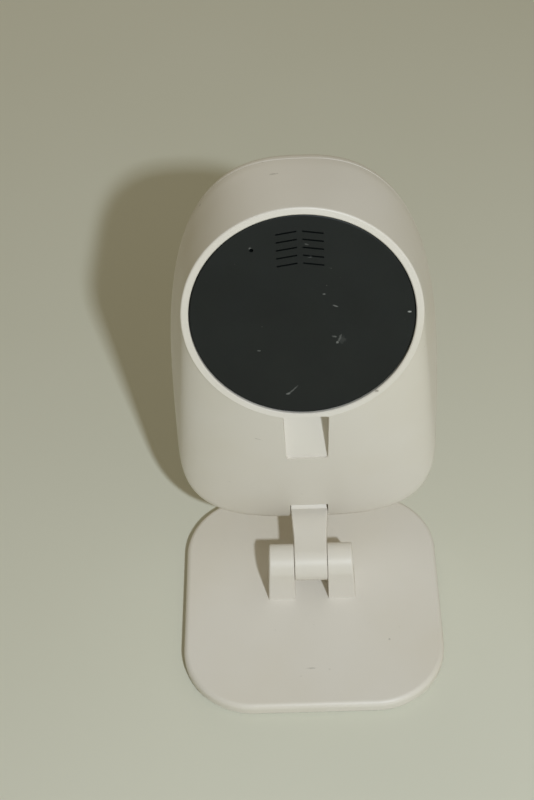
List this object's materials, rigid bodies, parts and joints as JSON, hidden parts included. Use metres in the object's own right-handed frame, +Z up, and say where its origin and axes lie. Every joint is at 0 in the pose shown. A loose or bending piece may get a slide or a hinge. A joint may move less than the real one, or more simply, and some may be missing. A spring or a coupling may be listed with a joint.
{
  "type": "security camera",
  "caption": "Indoor security camera: rounded head with a round dark rear cover and speaker slots, on a short folding arm and a rounded-square base plate.",
  "frame": {"origin": "centre of the base plate's underside, on the surface that the camera stands on", "axes": "+Z up, -Y towards what the lens looks at, X along both hinge axes"},
  "size_m": [0.06, 0.077, 0.1057],
  "materials": {
    "warm_white_plastic": "moulded, fine satin grain, slightly yellowed",
    "charcoal_plastic": "moulded, fine matte grain, a few scuffs",
    "black_glass": "smoked, polished",
    "black_plastic": "moulded, matte",
    "rubber": "soft, matte",
    "steel": "plated",
    "aluminium": "stamped",
    "circuit_board": "green solder mask",
    "clear_optics": "polished",
    "tape": "thin film"
  },
  "bodies": {
    "base": {"base_plate": "warm_white_plastic", "base_foot": "rubber", "base_weight": "steel", "base_hinge_pin": "steel", "base_hinge_plug": "warm_white_plastic"},
    "arm": {"arm": "warm_white_plastic", "base_hinge_sleeve": "steel", "head_hinge_sleeve": "steel"},
    "head": {"rear_housing": "warm_white_plastic", "rear_cover": "charcoal_plastic", "cover_tape": "tape", "front_bezel": "warm_white_plastic", "front_glass": "black_glass", "head_hinge_pin": "steel", "main_board": "circuit_board", "soc_shield": "steel", "wifi_module": "steel", "heat_spreader": "aluminium", "usb_socket": "steel", "reset_switch": "black_plastic", "wifi_antenna": "circuit_board", "antenna_cable": "black_plastic", "speaker_gasket": "rubber", "speaker_frame": "black_plastic", "speaker_cone": "black_plastic", "speaker_magnet": "steel", "speaker_cable": "black_plastic", "camera_ribbon": "tape", "camera_board": "circuit_board", "image_sensor": "black_glass", "lens_holder": "black_plastic", "ir_cut_filter": "clear_optics", "lens_barrel": "black_plastic", "lens_front_element": "clear_optics", "lens_rear_element": "clear_optics", "lens_shroud": "rubber", "ir_board": "circuit_board", "light_sensor": "clear_optics", "status_led": "clear_optics", "microphone": "steel", "board_screw_1": "steel", "board_screw_2": "steel", "board_screw_3": "steel", "board_screw_4": "steel", "camera_screw_1": "steel", "camera_screw_2": "steel", "camera_screw_3": "steel", "camera_screw_4": "steel", "ir_led_1": "clear_optics", "ir_led_2": "clear_optics", "ir_led_3": "clear_optics", "ir_led_4": "clear_optics", "ir_led_5": "clear_optics", "ir_led_6": "clear_optics", "ir_led_7": "clear_optics", "ir_led_8": "clear_optics"},
    "reset_button": {"reset_plunger": "black_plastic"}
  },
  "joints": [
    {"name": "base_hinge", "type": "hinge", "parent": "base", "child": "arm", "pos_m": [0, -0.0031, 0.0125], "axis": [-1, 0, 0], "range_deg": [-8, 60]},
    {"name": "head_hinge", "type": "hinge", "parent": "arm", "child": "head", "pos_m": [0, -0.01904, 0.01389], "axis": [-1, 0, 0], "range_deg": [-45, 8]},
    {"name": "reset_press", "type": "slide", "parent": "head", "child": "reset_button", "axis": [0, -0.9659, -0.2588], "range_m": [0, 0.0004], "stiffness_N_per_m": 400}
  ]
}
